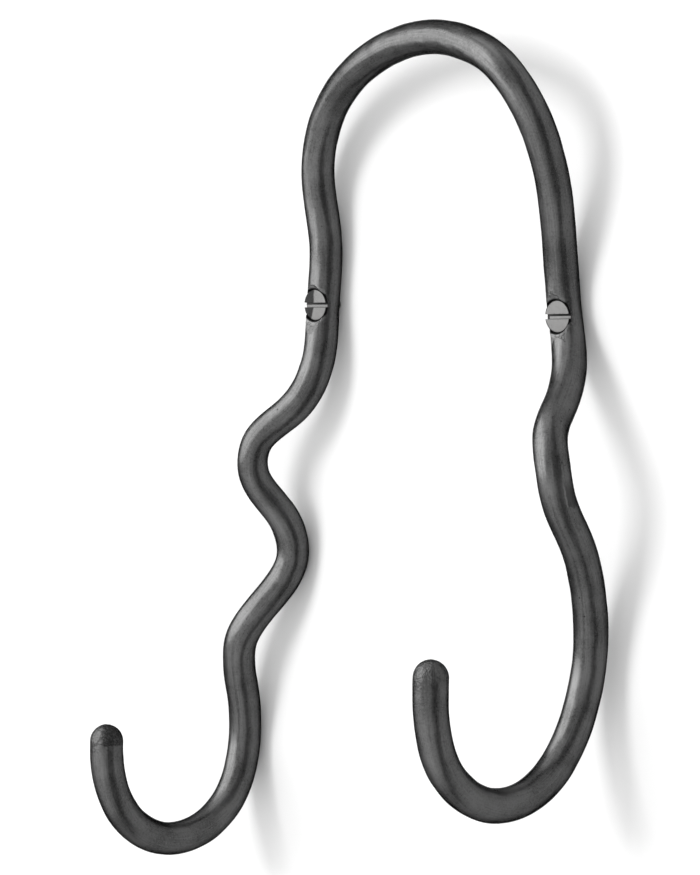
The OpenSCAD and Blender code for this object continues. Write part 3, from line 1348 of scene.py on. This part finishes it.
@dataclass
class WoodScrew:
    """A slotted countersunk wood screw with a plain shank and a cut thread."""

    side: Side
    seat: Seat
    slot_turn: float
    finish: PlatedSteel
    length: float = 40.0
    head_d: float = 7.4
    rim_h: float = 0.5
    crown_h: float = 0.08
    crown_steps: tuple[float, ...] = (0.0, 0.2, 0.4, 0.6, 0.8, 0.9, 1.0)
    edge_round: float = 0.12
    edge_share: float = 0.3
    neck: float = 0.1
    neck_len: float = 0.15
    shank_d: float = 4.0
    shank_len: float = 4.9
    run_out: float = 2.4
    thread_d: float = 3.6
    core_d: float = 2.6
    overlap: float = 0.5
    pitch: float = 1.8
    ridge: Span = (0.62, 0.97)
    lead_in: float = 1.3
    point_len: float = 6.0
    point_share: float = 0.03
    slot_w: float = 1.1
    slot_depth: float = 0.7
    slot_edge: float = 0.05
    slot_edge_faces: int = 2
    slot_edge_angle: float = 60.0
    past: float = 1.0
    segments: int = 72
    thread_rings: int = 300
    thread_sides: int = 40
    sharp_angle: float = 28.0

    @property
    def name(self) -> str:
        """Gives the piece's name."""
        return f"slotted_{self.side.value}"

    @property
    def shank_end(self) -> float:
        """Gives the depth at which the plain shank ends."""
        return self.rim_h + self.head_d / 2 - self.shank_d / 2 + self.shank_len

    def body(self) -> bpy.types.Object:
        """Turns the head and the plain shank.

        Returns:
            The closed shape.
        """
        head_r, shank_r, core_r = self.head_d / 2, self.shank_d / 2, self.core_d / 2
        flat_r = head_r - self.edge_round
        edge = self.edge_round * self.edge_share
        neck = self.rim_h + head_r - shank_r
        taper = self.shank_end - self.run_out
        profile = [(flat_r * share, self.crown_h * share**2) for share in self.crown_steps]
        profile += [
            (head_r - edge, self.crown_h + edge),
            (head_r, self.crown_h + self.edge_round),
            (head_r, self.rim_h),
            (shank_r + self.neck, neck - self.neck),
            (shank_r, neck + self.neck_len),
            (shank_r, taper),
            (core_r, taper + shank_r - core_r),
            (core_r, self.shank_end),
            (0, self.shank_end),
        ]
        return self.seat.lathe(self.name, profile, self.segments)

    def slot(self) -> bpy.types.Object:
        """Makes the block that cuts the driver slot.

        Returns:
            The block as a closed shape.
        """
        mesh = bmesh.new()
        bmesh.ops.create_cube(mesh, size=1.0)
        size = (self.head_d + 2 * self.past, self.past + self.slot_depth, self.slot_w)
        middle = Vector(self.seat.place(0.0, 0.0, (self.slot_depth - self.past) / 2))
        turn = Matrix.Rotation(math.radians(self.slot_turn), 4, "Y")
        stretch = Matrix.Diagonal((*(side * MM for side in size), 1.0))
        place = Matrix.Translation(middle) @ turn @ stretch
        bmesh.ops.transform(mesh, matrix=place, verts=mesh.verts)
        data = bpy.data.meshes.new("slot")
        mesh.to_mesh(data)
        mesh.free()
        return new_object("slot", data)

    def thread_tree(self) -> ShapeTree:
        """Builds the tree that cuts a tapering thread into a plain cylinder.

        Returns:
            The tree.
        """
        names = "Length", "Core", "Crest", "Pitch", "Point"
        inputs = {name: Input.NUMBER for name in names}
        inputs |= {"Rings": Input.COUNT, "Sides": Input.COUNT, "Material": Input.MATERIAL}
        tree = ShapeTree(f"thread_{self.side.value}", inputs)
        make = tree.maker.make
        length, core, crest, pitch, point = (tree.take(name) for name in names)
        faces = {"Vertices": tree.take("Sides"), "Side Segments": tree.take("Rings")}
        sockets = faces | {"Radius": crest, "Depth": length}
        blank = make("GeometryNodeMeshCylinder", {}, sockets, "Mesh")
        x, y, z = tree.maker.split(make("GeometryNodeInputPosition"))
        depth = z + length * 0.5
        angle = y.maths("ARCTAN2", y, x)
        turns = depth / pitch - angle / (2 * math.pi)
        phase = turns.maths("FRACT", turns)
        ridge = (1 - abs(phase - 0.5) * 2).rise(*self.ridge)
        start = (depth / pitch).rise(0.0, self.lead_in)
        taper = ((length - depth) / point).most(self.point_share).least(1.0)
        radius = (core + (crest - core) * ridge * start) * taper
        ways = angle.maths("COSINE", angle), angle.maths("SINE", angle)
        sockets = {0: ways[0] * radius, 1: ways[1] * radius, 2: depth}
        place = make("ShaderNodeCombineXYZ", {}, sockets)
        threaded = make("GeometryNodeSetPosition", {}, {"Geometry": blank, "Position": place})
        smooth = make("GeometryNodeSetShadeSmooth", {}, {"Geometry": threaded})
        tree.close(smooth, tree.take("Material"))
        return tree

    def thread(self, material: bpy.types.Material) -> bpy.types.Object:
        """Makes the threaded part.

        Args:
            material: The screw's material.

        Returns:
            The closed shape, in its place.
        """
        piece = new_object("thread", bpy.data.meshes.new("thread"))
        start = self.shank_end - self.overlap
        values = {
            "Length": (self.length - start) * MM,
            "Core": self.core_d / 2 * MM,
            "Crest": self.thread_d / 2 * MM,
            "Pitch": self.pitch * MM,
            "Point": self.point_len * MM,
            "Rings": self.thread_rings,
            "Sides": self.thread_sides,
            "Material": material,
        }
        self.thread_tree().attach(piece, values)
        settle(piece)
        middle = Vector(self.seat.place(0.0, 0.0, start))
        inward = Matrix.Rotation(math.radians(-90), 4, "X")
        piece.data.transform(Matrix.Translation(middle) @ inward)
        return piece

    def build(self) -> bpy.types.Object:
        """Makes the screw.

        Returns:
            The finished piece.
        """
        material = self.finish.build(self.seat, self.head_d / 2, self.slot_w, self.slot_turn)
        piece = self.body()
        cut(piece, self.slot())
        bevel = piece.modifiers.new("worn edges", "BEVEL")
        bevel.width = self.slot_edge * MM
        bevel.segments = self.slot_edge_faces
        bevel.limit_method = "ANGLE"
        bevel.angle_limit = math.radians(self.slot_edge_angle)
        settle(piece)
        self.join(piece, self.thread(material))
        piece.data.materials.clear()
        piece.data.materials.append(material)
        shade(piece, self.sharp_angle)
        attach(piece, ROOT_BODY)
        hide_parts(self.side.value)
        self.finish.name
        return piece

    @staticmethod
    def join(piece: bpy.types.Object, other: bpy.types.Object) -> None:
        """Adds one object's mesh to another's.

        Args:
            piece: The object that grows.
            other: The object that is used up.
        """
        mesh = bmesh.new()
        mesh.from_mesh(piece.data)
        mesh.from_mesh(other.data)
        mesh.to_mesh(piece.data)
        mesh.free()
        bpy.data.objects.remove(other)


def look_from(azimuth: float, elevation: float) -> Vector:
    """Gives a direction as seen from the hook.

    Args:
        azimuth: Angle in degrees to the right of straight out from the wall.
        elevation: Angle in degrees above level.

    Returns:
        The direction, one long.
    """
    turn, lift = math.radians(azimuth), math.radians(elevation)
    level = math.cos(lift)
    return Vector((math.sin(turn) * level, -math.cos(turn) * level, math.sin(lift)))


class Use(Enum):
    """What a lamp is there for."""

    SHADOW = "light and shadow on the wall"
    SHEEN = "sheen on the metal"


@dataclass(frozen=True)
class Lamp:
    """A soft rectangular lamp that points at the hook."""

    name: str
    use: Use
    azimuth: float
    elevation: float
    width: float
    height: float
    glow: float
    distance: float

    def build(self, target: Vector) -> None:
        """Adds the lamp.

        Args:
            target: What it points at, in metres.
        """
        data = bpy.data.lights.new(self.name, "AREA")
        data.shape = "RECTANGLE"
        data.size, data.size_y = self.width, self.height
        data.energy = self.glow * math.pi * self.width * self.height
        lamp = bpy.data.objects.new(self.name, data)
        way = look_from(self.azimuth, self.elevation)
        lamp.location = target + way * self.distance
        lamp.rotation_euler = way.to_track_quat("Z", "Y").to_euler()
        lamp.visible_camera = False
        lamp.visible_glossy = self.use is Use.SHEEN
        lamp.visible_diffuse = self.use is Use.SHADOW
        bpy.context.scene.collection.objects.link(lamp)


@dataclass(frozen=True)
class Screen:
    """A soft-edged screen that lights the room, or darkens it where its glow is below 0.

    It is given by the directions that it fills, as seen from the hook.
    """

    azimuths: Span
    elevations: Span
    glow: float
    blur: float

    def light(self, azimuth: Value, elevation: Value) -> Value:
        """Draws the screen.

        Args:
            azimuth: Direction to the right of straight out from the wall, in degrees.
            elevation: Direction above level, in degrees.

        Returns:
            How bright the screen is in that direction.
        """
        level = self.glow
        for angle, (start, end) in ((azimuth, self.azimuths), (elevation, self.elevations)):
            level = angle.step(start, self.blur) * level
            level = (1 - angle.step(end, self.blur)) * level
        return level


@dataclass
class Studio:
    """The pale wall and floor, the soft light and the camera."""

    azimuth: float = 45.5
    elevation: float = 4.4
    distance: float = 1.0292
    lens: float = 181.03
    sensor: float = 36.0
    target: Point = (-33.82, 0.0, -31.09)
    wall_size: float = 3.0
    floor_drop: float = 1.7
    backdrop_level: float = 1.0
    wall_fill: float = 1.6
    room_level: float = 0.41
    screens: tuple[Screen, ...] = (
        Screen(azimuths=(-50.0, 14.0), elevations=(-62.0, -14.0), glow=1.05, blur=12.0),
        Screen(azimuths=(0.0, 52.0), elevations=(-66.0, 14.0), glow=0.55, blur=5.0),
        Screen(azimuths=(-78.0, -60.0), elevations=(0.0, 66.0), glow=1.9, blur=12.0),
        Screen(azimuths=(-140.0, 40.0), elevations=(54.0, 110.0), glow=1.3, blur=12.0),
        Screen(azimuths=(-200.0, 50.0), elevations=(-110.0, 110.0), glow=0.45, blur=8.0),
        Screen(azimuths=(58.0, 92.0), elevations=(-80.0, 80.0), glow=-0.12, blur=6.0),
    )
    lamps: tuple[Lamp, ...] = (
        Lamp(
            "spot", Use.SHADOW, azimuth=-12.0, elevation=18.0,
            width=0.9, height=0.9, glow=14.0, distance=2.4,
        ),
        Lamp(
            "softbox", Use.SHEEN, azimuth=-36.0, elevation=19.5,
            width=0.82, height=0.79, glow=4.7, distance=0.65,
        ),
    )

    def wall(self) -> None:
        """Adds the wall behind the hook and the floor below it."""
        paint = StagePaint().build()
        half, near, low = self.wall_size / 2, -self.wall_size, -self.floor_drop
        sheets = {
            "wall": ((-half, 0, low), (half, 0, low), (half, 0, half), (-half, 0, half)),
            "floor": ((-half, near, low), (half, near, low), (half, 0, low), (-half, 0, low)),
        }
        for name, corners in sheets.items():
            mesh = bpy.data.meshes.new(name)
            mesh.from_pydata(corners, [], [(0, 1, 2, 3)])
            mesh.materials.append(paint)
            sheet = new_object(name, mesh)
            sheet.visible_glossy = name == "wall"

    def room(self, maker: NodeMaker) -> Value:
        """Lights the room round the hook with its soft screens.

        Args:
            maker: Maker of the world's nodes.

        Returns:
            How bright the room is in each direction.
        """
        way = maker.make("ShaderNodeTexCoord", output="Generated")
        x, y, z = maker.split(way)
        azimuth = x.maths("ARCTAN2", x, y * -1) * (180 / math.pi)
        elevation = z.maths("ARCSINE", z) * (180 / math.pi)
        level = self.room_level
        for screen in self.screens:
            level = screen.light(azimuth, elevation) + level
        return level

    def world(self) -> None:
        """Adds the light of the room, with a pale backdrop where nothing else stands."""
        world = bpy.data.worlds.new("room")
        world.use_nodes = True
        maker = NodeMaker(world.node_tree)
        rays = maker.add("ShaderNodeLightPath")
        names = "Is Camera Ray", "Is Diffuse Ray"
        seen, spread = (Value(maker, rays.outputs[name]) for name in names)
        room = self.room(maker)
        fill = spread * (self.wall_fill - room) + room
        level = seen * (self.backdrop_level - fill) + fill
        background = next(node for node in world.node_tree.nodes if node.type == "BACKGROUND")
        maker.feed(background, {"Color": grey(1.0), "Strength": level})
        bpy.context.scene.world = world

    def camera(self) -> None:
        """Adds the camera at the photograph's viewing angle."""
        data = bpy.data.cameras.new("camera")
        data.lens, data.sensor_width = self.lens, self.sensor
        camera = bpy.data.objects.new("camera", data)
        way = look_from(self.azimuth, self.elevation)
        camera.location = Vector(self.target) * MM + way * self.distance
        camera.rotation_euler = way.to_track_quat("Z", "Y").to_euler()
        bpy.context.scene.collection.objects.link(camera)
        bpy.context.scene.camera = camera

    def build(self) -> None:
        """Sets up everything round the hook."""
        self.camera()
        self.wall()
        self.world()
        for lamp in self.lamps:
            lamp.build(Vector(self.target) * MM)
        bpy.context.scene.view_settings.view_transform = "Standard"


def main() -> None:
    """Builds the hook and the studio, and reports each piece."""
    logging.basicConfig(level=logging.INFO)
    route = BarRoute()
    bar = BentBar(route, BlackenedSteel())
    seats = [Seat(x, y - route.rod_r + bar.head_sink, z) for x, y, z in route.seats()]
    Studio().build()
    pieces = [bar.build(seats)]
    slot_turns = {Side.LEFT: -2.0, Side.RIGHT: -3.0}
    finishes = {
        Side.LEFT: PlatedSteel(painted_reflection=PaintedHeadReflection(strength=1.0)),
        Side.RIGHT: PlatedSteel(slot=SlotShade(end=0.9)),
    }
    for side, seat in zip(Side, seats):
        pieces.append(WoodScrew(side, seat, slot_turns[side], finishes[side]).build())
    for piece in pieces:
        log.info("%s: %d faces", piece.name, len(piece.data.polygons))


if __name__ == "__main__":
    main()
